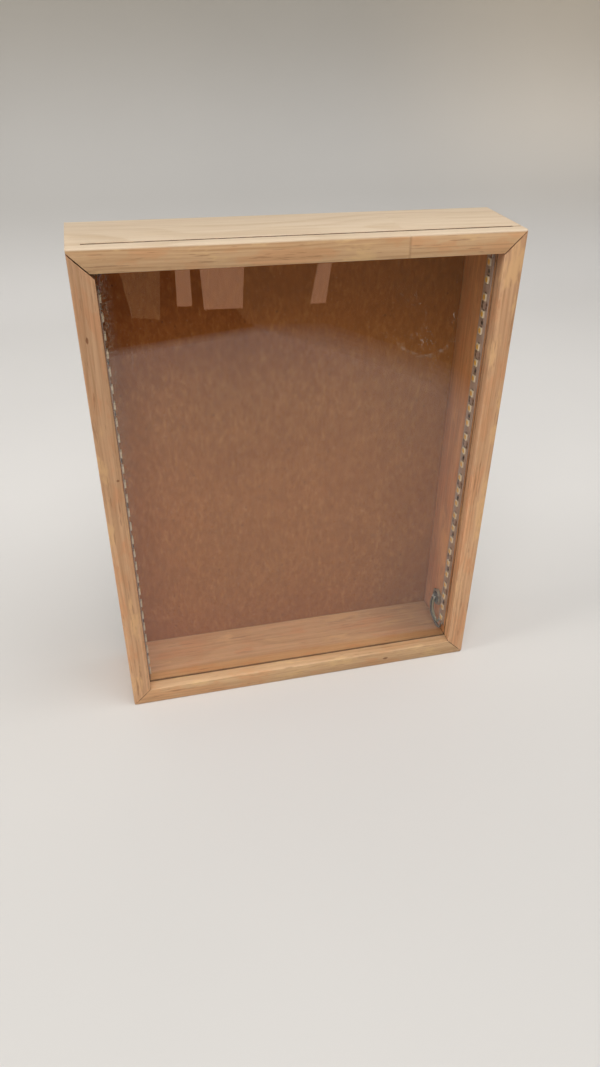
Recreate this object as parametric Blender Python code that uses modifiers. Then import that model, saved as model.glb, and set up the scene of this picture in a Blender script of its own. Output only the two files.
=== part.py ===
"""Lit wooden shadow box.

Four boards are mitred and pinned into a box. A groove runs round their inner
faces near the front and comes out through the top board as a slot, so that the
glass pane drops in from above. A hardboard back is pinned into a rebate behind.
LED strip runs up both sides and across the top, fed by a barrel jack low in the
right-hand side.

Frame: +X is the viewer's right, -Y is the front, +Z is up. The origin is on
the underside of the bottom board, midway across and midway front to back.
"""
import math

import bmesh
import bpy
from mathutils import Euler, Matrix, Vector

MM = 0.001

# Driving dimensions.
WIDTH = 203.2 * MM
HEIGHT = 254.0 * MM
DEPTH = 46.6 * MM
BOARD_THICKNESS = 10.2 * MM
GAP = 0.3 * MM
OVERRUN = 2.0 * MM
EASED_EDGE = 0.9 * MM
WORN_CORNERS = {"left": 1.2 * MM, "right": 2.2 * MM}

# Mitres: how much each upright board gives up, square to the joint, and how far
# the top board runs past its left-hand mitre before it is trimmed flush.
MITRE_GAPS = {
    "top_left": 0.45 * MM,
    "top_right": 0.4 * MM,
    "bottom_left": GAP,
    "bottom_right": 0.3 * MM,
}
TOP_BOARD_EXCESS = 1.6 * MM

# Pane and its groove, measured back from the front face and out from the middle.
GROOVE_FRONT = 6.6 * MM
GROOVE_LEFT = 95.2 * MM
GROOVE_RIGHT = 96.8 * MM
GROOVE_DEPTH = 4.8 * MM
PANE_THICKNESS = 1.2 * MM
PANE_EDGE = 0.2 * MM
PANE_RECESS = 3.0 * MM
KERF_WIDTH = 0.9 * MM
KERF_DEPTH = 0.8 * MM

# Hardboard back in its rebate.
LAND_WIDTH = 6.0 * MM
PANEL_THICKNESS = 3.0 * MM
PANEL_RECESS = 0.3 * MM
PANEL_CLEARANCE = 0.4 * MM

# LED strip: three-LED segments with one LED in each third.
STRIP_WIDTH = 8.0 * MM
STRIP_THICKNESS = 0.35 * MM
STRIP_SETBACK = 9.0 * MM
SEGMENT = 25.0 * MM
LEDS_PER_SEGMENT = 3
LED_LENGTH = 3.5 * MM
LED_WIDTH = 2.8 * MM
LED_HEIGHT = 0.8 * MM
RIGHT_RUN_BOTTOM = 16.2 * MM
RIGHT_RUN_SEGMENTS = 9
TOP_RUN_SEGMENTS = 7
LEFT_RUN_TOP = 234.5 * MM
LEFT_RUN_SEGMENTS = 9
PAD_SPACING = 4.0 * MM
PAD_INSET = 1.2 * MM

# Wires between the runs, and the lead from the jack to the first run.
JUMPER_RADIUS = 0.5 * MM
LEAD_RADIUS = 0.7 * MM

# Barrel jack through the right-hand board.
JACK_SETBACK = 22.3 * MM
JACK_HEIGHT = 29.5 * MM
JACK_BARREL_RADIUS = 3.9 * MM
JACK_BORE_RADIUS = 2.9 * MM
JACK_FLANGE_RADIUS = 6.2 * MM
JACK_FLANGE_THICKNESS = 1.8 * MM
JACK_REAR_WALL = 3.2 * MM
JACK_PIN_RADIUS = 1.0 * MM
JACK_TAIL_RADIUS = 0.6 * MM
JACK_TAIL_REACH = 13.4 * MM
JACK_CHAMFER = 0.5 * MM
THREAD_BEYOND_NUT = 0.4 * MM
PIN_TIP = 1.0 * MM
CONTACT_REACH = 2.5 * MM
CONTACT_OFFSET = 2.2 * MM
CONTACT_WIDTH = 1.8 * MM
CONTACT_THICKNESS = 0.4 * MM
NUT_ACROSS_FLATS = 10.0 * MM
NUT_THICKNESS = 1.6 * MM
NUT_EDGE = 0.25 * MM
BARREL_STEPS = 24
PIN_STEPS = 12

# Brads: shank radius, head radius, head height and length. Their heads are sunk.
CORNER_BRAD = (0.6 * MM, 1.0 * MM, 0.6 * MM, 22.0 * MM)
PANEL_BRAD = (0.5 * MM, 0.9 * MM, 0.5 * MM, 10.0 * MM)
BRAD_SINK = 0.3 * MM
BRAD_STEPS = 10
CORNER_BRAD_SETBACKS = {"front": 17.0 * MM, "rear": 34.0 * MM}
PANEL_BRAD_INSET = 2.2 * MM
PANEL_BRAD_SPREAD = 0.28

# Places worked out from the dimensions above.
FRONT = -DEPTH / 2
REAR = DEPTH / 2
HALF_WIDTH = WIDTH / 2
INSIDE_HALF = HALF_WIDTH - BOARD_THICKNESS
FLOOR = BOARD_THICKNESS
CEILING = HEIGHT - BOARD_THICKNESS
PANEL_BACK = REAR - PANEL_RECESS
PANEL_FRONT = PANEL_BACK - PANEL_THICKNESS
STRIP_MIDDLE = FRONT + STRIP_SETBACK + STRIP_WIDTH / 2
LED_PITCH = SEGMENT / LEDS_PER_SEGMENT
STRIP_FACE = INSIDE_HALF - GAP - STRIP_THICKNESS
TOP_RUN_FACE = CEILING - GAP - STRIP_THICKNESS
JACK_PLACE = Vector((HALF_WIDTH, FRONT + JACK_SETBACK, JACK_HEIGHT))
GROOVE_BACK = GROOVE_FRONT + PANE_THICKNESS + 2 * GAP
GROOVE_MIDDLE = (GROOVE_FRONT + GROOVE_BACK) / 2
GROOVE_BOTTOM = BOARD_THICKNESS - GROOVE_DEPTH

# Rotations that carry a turned piece's local +Z onto a world direction.
FACING_RIGHT = Euler((0, math.pi / 2, 0))
FACING_LEFT = Euler((0, -math.pi / 2, 0))
FACING_REAR = Euler((-math.pi / 2, 0, 0))
FACING_UP = Euler((0, 0, 0))


# Scene housekeeping.

def empty_scene():
    """Remove the scene's objects and their left-over collections."""
    for item in list(bpy.data.objects):
        bpy.data.objects.remove(item, do_unlink=True)
    for group in list(bpy.data.collections):
        bpy.data.collections.remove(group)


def new_collection(name):
    """Make a collection under the scene's own."""
    group = bpy.data.collections.new(name)
    bpy.context.scene.collection.children.link(group)
    return group


def new_material(name, colour, roughness, metallic=0.0, transmission=0.0):
    """Make a Principled material with a plain colour."""
    material = bpy.data.materials.new(name)
    material.use_nodes = True
    shader = material.node_tree.nodes["Principled BSDF"]
    shader.inputs["Base Color"].default_value = (*colour, 1.0)
    shader.inputs["Roughness"].default_value = roughness
    shader.inputs["Metallic"].default_value = metallic
    shader.inputs["Transmission Weight"].default_value = transmission
    material.diffuse_color = (*colour, 1.0)
    return material


empty_scene()
PARTS = new_collection("shadow_box")
CUTTERS = new_collection("cutters")


def place(name, data, group, location=(0, 0, 0), rotation=FACING_UP):
    """Add an object to a collection at a location and rotation."""
    item = bpy.data.objects.new(name, data)
    item.location = location
    item.rotation_euler = rotation
    group.objects.link(item)
    if group is CUTTERS:
        item.hide_render = True
        item.display_type = "WIRE"
    return item


def finish_part(item, finish):
    """Give a part its own material: (colour, roughness) plus any metallic and transmission."""
    item.data.materials.clear()
    item.data.materials.append(new_material(item.name + "_finish", *finish))
    return item


# Shape helpers.

def box_mesh(name, size, centre=(0, 0, 0)):
    """A box of the given size about a centre."""
    shape = bmesh.new()
    bmesh.ops.create_cube(shape, size=1.0)
    bmesh.ops.scale(shape, vec=size, verts=shape.verts)
    bmesh.ops.translate(shape, vec=centre, verts=shape.verts)
    mesh = bpy.data.meshes.new(name)
    shape.to_mesh(mesh)
    shape.free()
    return mesh


def box_between(name, low, high, group):
    """A box object between two corners, with its origin at its middle."""
    low = Vector(low)
    high = Vector(high)
    return place(name, box_mesh(name, high - low), group, (low + high) / 2)


def cylinder_mesh(name, radius, length, sides, twist=0.0):
    """A closed cylinder along local Z, about the origin."""
    shape = bmesh.new()
    bmesh.ops.create_cone(
        shape, cap_ends=True, segments=sides, radius1=radius, radius2=radius, depth=length,
        matrix=Matrix.Rotation(twist, 4, "Z"))
    mesh = bpy.data.meshes.new(name)
    shape.to_mesh(mesh)
    shape.free()
    return mesh


def turned(name, profile, group, location, rotation, steps, closed=False):
    """Turn a profile of (radius, height) points about local Z with a Screw modifier."""
    mesh = bpy.data.meshes.new(name)
    points = [(radius, 0, height) for radius, height in profile]
    links = [(index, index + 1) for index in range(len(points) - 1)]
    if closed:
        links.append((len(points) - 1, 0))
    mesh.from_pydata(points, links, [])
    item = place(name, mesh, group, location, rotation)
    screw = item.modifiers.new("Turn", "SCREW")
    screw.axis = "Z"
    screw.angle = math.tau
    screw.steps = steps
    screw.render_steps = steps
    screw.use_merge_vertices = True
    screw.merge_threshold = 0.00001
    screw.use_smooth_shade = True
    return item


def cut(target, cutter, operation="DIFFERENCE"):
    """Add an exact Boolean modifier."""
    boolean = target.modifiers.new(cutter.name, "BOOLEAN")
    boolean.solver = "EXACT"
    boolean.operation = operation
    boolean.object = cutter


def ease(target, width, segments=1, method="ANGLE"):
    """Ease sharp or weighted edges with a bevel."""
    bevel = target.modifiers.new("Eased edges", "BEVEL")
    bevel.width = width
    bevel.segments = segments
    bevel.limit_method = method


# The four mitred boards.

SIDES = {
    "top": {"turn": 0, "ends": ("top_left", "top_right"), "place": (0, HEIGHT)},
    "right": {"turn": 90, "ends": ("top_right", "bottom_right"), "place": (HALF_WIDTH, HEIGHT / 2)},
    "bottom": {"turn": 180, "ends": ("bottom_right", "bottom_left"), "place": (0, 0)},
    "left": {"turn": 270, "ends": ("bottom_left", "top_left"), "place": (-HALF_WIDTH, HEIGHT / 2)},
}
# How strongly each long edge is eased, by (at the rear, on the outside).
EDGE_WEIGHTS = {(False, True): 1.0, (False, False): 0.5, (True, True): 0.6}
PINE_YELLOW = ((0.58, 0.40, 0.22), 0.55)
PINE_RED = ((0.52, 0.31, 0.18), 0.55)


def mitred_mesh(name, length, gives):
    """A board along local X: outer face at z = 0, front face at y = 0, ends mitred.

    gives are the lengths taken off the two ends; a negative one is added on.
    """
    shape = bmesh.new()
    bmesh.ops.create_cube(shape, size=1.0)
    weights = shape.edges.layers.float.new("bevel_weight_edge")
    for edge in shape.edges:
        first, second = edge.verts
        if abs(first.co.x - second.co.x) > 0.5:
            corner = (first.co.y > 0, first.co.z > 0)
            edge[weights] = EDGE_WEIGHTS.get(corner, 0.0)
    for vert in shape.verts:
        end = 1 if vert.co.x > 0 else 0
        inner = vert.co.z < 0
        reach = length / 2 - gives[end] - (BOARD_THICKNESS if inner else 0)
        vert.co.x = reach if end else -reach
        vert.co.y = DEPTH if vert.co.y > 0 else 0
        vert.co.z = -BOARD_THICKNESS if inner else 0
    mesh = bpy.data.meshes.new(name)
    shape.to_mesh(mesh)
    shape.free()
    return mesh


def end_give(end, upright):
    """What a board gives up at one mitre, measured along its length."""
    excess = TOP_BOARD_EXCESS if end == "top_left" else 0.0
    if upright:
        return MITRE_GAPS[end] * math.sqrt(2) + excess
    return -excess


def corner_rounding(side, radius):
    """A cutter that rounds one bottom corner, seen from the front."""
    sign = 1 if side == "right" else -1
    corner = Vector((sign * HALF_WIDTH, 0, 0))
    centre = Vector((corner.x - sign * radius, 0, radius))
    low = Vector((min(corner.x + sign * OVERRUN, centre.x), FRONT - OVERRUN, -OVERRUN))
    high = Vector((max(corner.x + sign * OVERRUN, centre.x), REAR + OVERRUN, radius))
    block = box_between("worn_corner_" + side, low, high, CUTTERS)
    core_mesh = cylinder_mesh("worn_core", radius, DEPTH + 4 * OVERRUN, BARREL_STEPS)
    cut(block, place("worn_core_" + side, core_mesh, CUTTERS, centre, FACING_REAR))
    return block


def box_boards():
    """The four boards with their groove, slot, rebate and worn corners, by side."""
    groove = box_between(
        "pane_groove",
        (-GROOVE_LEFT, FRONT + GROOVE_FRONT, GROOVE_BOTTOM),
        (GROOVE_RIGHT, FRONT + GROOVE_BACK, HEIGHT + OVERRUN),
        CUTTERS)
    rebate = box_between(
        "panel_rebate",
        (-HALF_WIDTH + LAND_WIDTH, PANEL_FRONT - GAP, LAND_WIDTH),
        (HALF_WIDTH - LAND_WIDTH, REAR + OVERRUN, HEIGHT - LAND_WIDTH),
        CUTTERS)
    boards = {}
    for side, plan in SIDES.items():
        upright = side in ("left", "right")
        length = HEIGHT if upright else WIDTH
        gives = [end_give(end, upright) for end in plan["ends"]]
        mesh = mitred_mesh("board_" + side, length, gives)
        location = (plan["place"][0], FRONT, plan["place"][1])
        turn = Euler((0, math.radians(plan["turn"]), 0))
        board = place("board_" + side, mesh, PARTS, location, turn)
        ease(board, EASED_EDGE, 2, "WEIGHT")
        cut(board, groove)
        cut(board, rebate)
        finish_part(board, PINE_RED if upright else PINE_YELLOW)
        boards[side] = board

    trim = box_between(
        "top_board_trim",
        (-HALF_WIDTH - TOP_BOARD_EXCESS - OVERRUN, FRONT - OVERRUN, CEILING - OVERRUN),
        (-HALF_WIDTH, REAR + OVERRUN, HEIGHT + OVERRUN),
        CUTTERS)
    cut(boards["top"], trim)
    kerf_middle = FRONT + GROOVE_MIDDLE
    kerf = box_between(
        "saw_kerf",
        (GROOVE_RIGHT - OVERRUN, kerf_middle - KERF_WIDTH / 2, HEIGHT - KERF_DEPTH),
        (HALF_WIDTH + OVERRUN, kerf_middle + KERF_WIDTH / 2, HEIGHT + OVERRUN),
        CUTTERS)
    cut(boards["top"], kerf)
    for side, radius in WORN_CORNERS.items():
        rounding = corner_rounding(side, radius)
        cut(boards["bottom"], rounding)
        cut(boards[side], rounding)
    return boards


# Pane and back.

def front_pane():
    """The glass pane, which slides up out of its groove through the slot."""
    pane = box_between(
        "front_pane",
        (-GROOVE_LEFT + GAP, FRONT + GROOVE_FRONT + GAP, GROOVE_BOTTOM + GAP),
        (GROOVE_RIGHT - GAP, FRONT + GROOVE_BACK - GAP, HEIGHT - PANE_RECESS),
        PARTS)
    ease(pane, PANE_EDGE)
    finish_part(pane, ((0.9, 0.95, 0.93), 0.02, 0.0, 1.0))


def back_panel():
    """The hardboard back."""
    inset = LAND_WIDTH + PANEL_CLEARANCE
    panel = box_between(
        "back_panel",
        (-HALF_WIDTH + inset, PANEL_FRONT, inset),
        (HALF_WIDTH - inset, PANEL_BACK, HEIGHT - inset),
        PARTS)
    finish_part(panel, ((0.30, 0.17, 0.10), 0.75))
    return panel


# Brads.

def brad(label, kind, surface_spot, facing, wood):
    """One brad below a surface, with a clearance hole in each piece it passes through."""
    shank, head, head_height, length = kind
    profile = [
        (0, 0),
        (head, 0),
        (head, -head_height),
        (shank, -head_height),
        (shank, shank * 2 - length),
        (0, -length),
    ]
    hole_profile = [
        (0, OVERRUN),
        (head + GAP, OVERRUN),
        (head + GAP, -head_height - GAP),
        (shank + GAP, -head_height - GAP),
        (shank + GAP, -length - GAP),
        (0, -length - GAP),
    ]
    outward = Vector((0, 0, 1))
    outward.rotate(facing)
    spot = Vector(surface_spot) - outward * BRAD_SINK
    pin = turned("brad_" + label, profile, PARTS, spot, facing, BRAD_STEPS)
    finish_part(pin, ((0.45, 0.45, 0.46), 0.35, 1.0))
    hole = turned("brad_hole_" + label, hole_profile, CUTTERS, spot, facing, BRAD_STEPS)
    for piece in wood:
        cut(piece, hole)


def corner_brads(boards):
    """Two brads across each mitre, through a side board into the end of the other."""
    for level, height in (("top", HEIGHT - BOARD_THICKNESS / 2), ("bottom", BOARD_THICKNESS / 2)):
        for side, sign, facing in (("left", -1, FACING_LEFT), ("right", 1, FACING_RIGHT)):
            for row, setback in CORNER_BRAD_SETBACKS.items():
                spot = (sign * HALF_WIDTH, FRONT + setback, height)
                wood = (boards[level], boards[side])
                brad("_".join((level, side, row)), CORNER_BRAD, spot, facing, wood)


def panel_brads(boards, panel):
    """Two brads along each edge of the back, into the floor of the rebate."""
    inset = LAND_WIDTH + PANEL_BRAD_INSET
    for sign, level in ((-1, "lower"), (1, "upper")):
        height = HEIGHT / 2 + sign * PANEL_BRAD_SPREAD * HEIGHT
        for side, edge in (("left", -HALF_WIDTH + inset), ("right", HALF_WIDTH - inset)):
            spot = (edge, PANEL_BACK, height)
            wood = (panel, boards[side])
            brad("_".join(("panel", side, level)), PANEL_BRAD, spot, FACING_REAR, wood)
    for sign, level in ((-1, "left"), (1, "right")):
        across = sign * PANEL_BRAD_SPREAD * WIDTH
        for side, edge in (("bottom", inset), ("top", HEIGHT - inset)):
            spot = (across, PANEL_BACK, edge)
            wood = (panel, boards[side])
            brad("_".join(("panel", side, level)), PANEL_BRAD, spot, FACING_REAR, wood)


# LED strip and its wiring.

def led_run(name, segments, location, rotation, trim=0.0):
    """One run of strip along local Z, its lower end at the origin, LEDs facing local +X.

    trim is cut off the lower end.
    """
    length = segments * SEGMENT
    size = (STRIP_THICKNESS, STRIP_WIDTH, length - trim)
    base = box_mesh(name, size, (-STRIP_THICKNESS / 2, 0, (length + trim) / 2))
    run = place(name, base, PARTS, location, rotation)
    root = STRIP_THICKNESS / 2
    shape = bmesh.new()
    for index in range(segments * LEDS_PER_SEGMENT):
        made = bmesh.ops.create_cube(shape, size=1.0)
        bmesh.ops.scale(shape, vec=(LED_HEIGHT + root, LED_WIDTH, LED_LENGTH), verts=made["verts"])
        middle = ((LED_HEIGHT - root) / 2, 0, LED_PITCH * (index + 0.5))
        bmesh.ops.translate(shape, vec=middle, verts=made["verts"])
    mesh = bpy.data.meshes.new(name + "_leds")
    shape.to_mesh(mesh)
    shape.free()
    leds = place(name + "_leds", mesh, CUTTERS, location, rotation)
    cut(run, leds, "UNION")
    return finish_part(run, ((0.75, 0.73, 0.68), 0.4))


def led_strips():
    """The three runs: up the right side, across the top and down the left side."""
    left_bottom = LEFT_RUN_TOP - LEFT_RUN_SEGMENTS * SEGMENT
    trim = FLOOR + GAP - left_bottom
    led_run(
        "led_strip_right", RIGHT_RUN_SEGMENTS, (STRIP_FACE, STRIP_MIDDLE, RIGHT_RUN_BOTTOM),
        Euler((0, 0, math.pi)))
    led_run(
        "led_strip_left", LEFT_RUN_SEGMENTS, (-STRIP_FACE, STRIP_MIDDLE, left_bottom),
        FACING_UP, trim)
    led_run(
        "led_strip_top", TOP_RUN_SEGMENTS,
        (-TOP_RUN_SEGMENTS * SEGMENT / 2, STRIP_MIDDLE, TOP_RUN_FACE),
        FACING_RIGHT)


def smooth_route(points, per_span=4):
    """Read points from a Catmull-Rom curve through a route."""
    route = [Vector(point) for point in points]
    padded = [route[0] * 2 - route[1]] + route + [route[-1] * 2 - route[-2]]
    line = []
    for span in range(len(route) - 1):
        before, start, end, after = padded[span:span + 4]
        for step in range(per_span):
            t = step / per_span
            line.append(0.5 * (
                2 * start + (end - before) * t
                + (2 * before - 5 * start + 4 * end - after) * t ** 2
                + (3 * start - before - 3 * end + after) * t ** 3))
    line.append(route[-1])
    return line


def wire(name, points, radius, colour):
    """A wire of round section along a smooth route."""
    curve = bpy.data.curves.new(name, "CURVE")
    curve.dimensions = "3D"
    curve.bevel_depth = radius
    curve.bevel_resolution = 2
    curve.use_fill_caps = True
    line = smooth_route(points)
    spline = curve.splines.new("POLY")
    spline.points.add(len(line) - 1)
    for point, spot in zip(spline.points, line):
        point.co = (*spot, 1)
    item = place(name, curve, PARTS)
    return finish_part(item, (colour, 0.35))


RED = (0.35, 0.05, 0.03)
BLACK = (0.03, 0.03, 0.03)
IVORY = (0.55, 0.50, 0.42)

# The lead's two routes: x, setback behind the front face, z.
LEAD_ROUTES = {
    "positive": (
        (88.5, 22.3, 28.8), (88.1, 22.2, 25.4), (88.1, 21.4, 21.2), (88.7, 19.9, 17.4),
        (89.5, 17.8, 14.8), (89.9, 16.0, 14.6), (90.0, 15.0, 17.0)),
    "negative": (
        (88.5, 24.5, 28.5), (87.8, 24.4, 25.2), (87.5, 23.3, 20.4), (88.0, 21.0, 16.2),
        (88.9, 17.8, 13.2), (89.6, 14.4, 11.9), (89.9, 11.8, 13.6), (89.8, 11.0, 17.0)),
}


def wiring():
    """Jumpers round the two upper corners, and the lead up from the jack."""
    stand_off = GAP + JUMPER_RADIUS
    wall = STRIP_FACE - stand_off
    roof = TOP_RUN_FACE - stand_off
    right_top = RIGHT_RUN_BOTTOM + RIGHT_RUN_SEGMENTS * SEGMENT - PAD_INSET
    left_top = LEFT_RUN_TOP - PAD_INSET
    end = TOP_RUN_SEGMENTS * SEGMENT / 2 - PAD_INSET
    poles = (("positive", -1, RED), ("negative", 1, BLACK))
    for pole, side, colour in poles:
        y = STRIP_MIDDLE + side * PAD_SPACING / 2
        right = (
            (wall, y, right_top), (wall - 0.2 * MM, y, right_top + 1.1 * MM),
            (wall - 1.1 * MM, y, roof - 0.3 * MM), (end + 1.0 * MM, y, roof), (end, y, roof))
        left = (
            (-end, y, roof), (-end - 1.4 * MM, y, roof - 0.4 * MM),
            (-wall + 0.5 * MM, y, roof - 2.4 * MM), (-wall, y, roof - 5.2 * MM),
            (-wall, y, left_top))
        wire("jumper_right_" + pole, right, JUMPER_RADIUS, colour)
        wire("jumper_left_" + pole, left, JUMPER_RADIUS, colour)
    for pole, colour in (("positive", IVORY), ("negative", BLACK)):
        spots = [(x * MM, FRONT + setback * MM, z * MM) for x, setback, z in LEAD_ROUTES[pole]]
        wire("lead_" + pole, spots, LEAD_RADIUS, colour)


# Barrel jack.

PLATED_METAL = ((0.70, 0.68, 0.62), 0.28, 1.0)


def jack(board):
    """A panel jack: flanged barrel, centre pin, sleeve contact and the nut inside."""
    face = GAP + JACK_FLANGE_THICKNESS
    rear = -BOARD_THICKNESS - GAP - NUT_THICKNESS - THREAD_BEYOND_NUT
    seat = rear + JACK_REAR_WALL
    profile = [
        (JACK_BORE_RADIUS + JACK_CHAMFER, face),
        (JACK_FLANGE_RADIUS - JACK_CHAMFER, face),
        (JACK_FLANGE_RADIUS, face - JACK_CHAMFER),
        (JACK_FLANGE_RADIUS, GAP),
        (JACK_BARREL_RADIUS, GAP),
        (JACK_BARREL_RADIUS, rear + JACK_CHAMFER),
        (JACK_BARREL_RADIUS - JACK_CHAMFER, rear),
        (JACK_TAIL_RADIUS + GAP, rear),
        (JACK_TAIL_RADIUS + GAP, seat),
        (JACK_BORE_RADIUS, seat),
        (JACK_BORE_RADIUS, face - JACK_CHAMFER),
    ]
    housing = turned(
        "jack_housing", profile, PARTS, JACK_PLACE, FACING_RIGHT, BARREL_STEPS, closed=True)
    finish_part(housing, ((0.05, 0.05, 0.05), 0.35))

    pin_profile = [
        (0, PIN_TIP),
        (JACK_PIN_RADIUS * 0.7, PIN_TIP * 0.8),
        (JACK_PIN_RADIUS, PIN_TIP * 0.2),
        (JACK_PIN_RADIUS, seat + GAP),
        (JACK_TAIL_RADIUS, seat + GAP),
        (JACK_TAIL_RADIUS, -JACK_TAIL_REACH),
        (0, -JACK_TAIL_REACH),
    ]
    pin = turned("jack_pin", pin_profile, PARTS, JACK_PLACE, FACING_RIGHT, PIN_STEPS)
    finish_part(pin, PLATED_METAL)

    half = Vector((0, CONTACT_THICKNESS / 2, CONTACT_WIDTH / 2))
    spot = JACK_PLACE + Vector((0, CONTACT_OFFSET, 0))
    contact = box_between(
        "jack_contact",
        spot - half - Vector((JACK_TAIL_REACH, 0, 0)),
        spot + half + Vector((seat + CONTACT_REACH, 0, 0)), PARTS)
    finish_part(contact, PLATED_METAL)
    clear = half + Vector((0, GAP, GAP))
    slot = box_between(
        "contact_slot",
        spot - clear + Vector((rear - OVERRUN, 0, 0)),
        spot + clear + Vector((seat + OVERRUN, 0, 0)), CUTTERS)
    cut(housing, slot)

    corner_radius = NUT_ACROSS_FLATS / math.sqrt(3)
    nut_mesh = cylinder_mesh("jack_nut", corner_radius, NUT_THICKNESS, 6, math.radians(30))
    nut_centre = JACK_PLACE - Vector((BOARD_THICKNESS + GAP + NUT_THICKNESS / 2, 0, 0))
    nut = place("jack_nut", nut_mesh, PARTS, nut_centre, FACING_RIGHT)
    ease(nut, NUT_EDGE)
    hole_length = BOARD_THICKNESS + 4 * OVERRUN
    hole_mesh = cylinder_mesh("jack_hole", JACK_BARREL_RADIUS + GAP, hole_length, BARREL_STEPS)
    hole_centre = JACK_PLACE - Vector((BOARD_THICKNESS / 2, 0, 0))
    hole = place("jack_hole", hole_mesh, CUTTERS, hole_centre, FACING_RIGHT)
    cut(nut, hole)
    cut(board, hole)
    finish_part(nut, PLATED_METAL)


def build():
    """Make the whole object."""
    boards = box_boards()
    front_pane()
    panel = back_panel()
    corner_brads(boards)
    panel_brads(boards, panel)
    led_strips()
    wiring()
    jack(boards["right"])


build()
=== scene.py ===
"""Looks of the lit wooden shadow box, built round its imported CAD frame.

Frame: +X is the viewer's right, -Y is the glazed front, +Z is up. Lengths are in metres.
"""
import math

import bmesh
import bpy
from mathutils import Matrix, Vector, noise


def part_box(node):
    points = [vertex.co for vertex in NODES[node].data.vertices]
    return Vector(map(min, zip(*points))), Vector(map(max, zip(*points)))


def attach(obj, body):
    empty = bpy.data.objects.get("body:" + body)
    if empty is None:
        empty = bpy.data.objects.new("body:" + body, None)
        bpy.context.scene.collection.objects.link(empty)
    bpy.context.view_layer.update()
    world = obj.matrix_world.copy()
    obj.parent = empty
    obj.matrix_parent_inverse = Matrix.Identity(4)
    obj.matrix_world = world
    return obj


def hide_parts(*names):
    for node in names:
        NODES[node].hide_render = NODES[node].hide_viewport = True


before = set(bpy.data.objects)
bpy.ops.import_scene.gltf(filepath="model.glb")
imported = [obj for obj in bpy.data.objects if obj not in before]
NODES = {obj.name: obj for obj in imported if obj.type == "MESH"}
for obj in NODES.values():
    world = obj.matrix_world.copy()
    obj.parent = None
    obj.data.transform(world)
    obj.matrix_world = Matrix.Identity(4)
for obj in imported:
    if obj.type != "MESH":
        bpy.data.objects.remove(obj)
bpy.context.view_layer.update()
MM = 0.001

# Shared measures, as the CAD has them.
CASE_LOW, CASE_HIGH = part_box("board_top")
CASE_RIGHT = CASE_HIGH.x
CASE_FRONT = CASE_LOW.y
CASE_TOP = CASE_HIGH.z
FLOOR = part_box("board_bottom")[1].z
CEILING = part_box("board_top")[0].z
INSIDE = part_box("board_right")[0].x
PANE_LOW, PANE_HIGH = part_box("front_pane")
PANE_FRONT = PANE_LOW.y
PANE_BACK = PANE_HIGH.y
PANE_MIDDLE = (PANE_FRONT + PANE_BACK) / 2

# How near a face a point has to be to count as on it.
SKIN = 0.4 * MM


# ---------------------------------------------------------------- node materials

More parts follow.
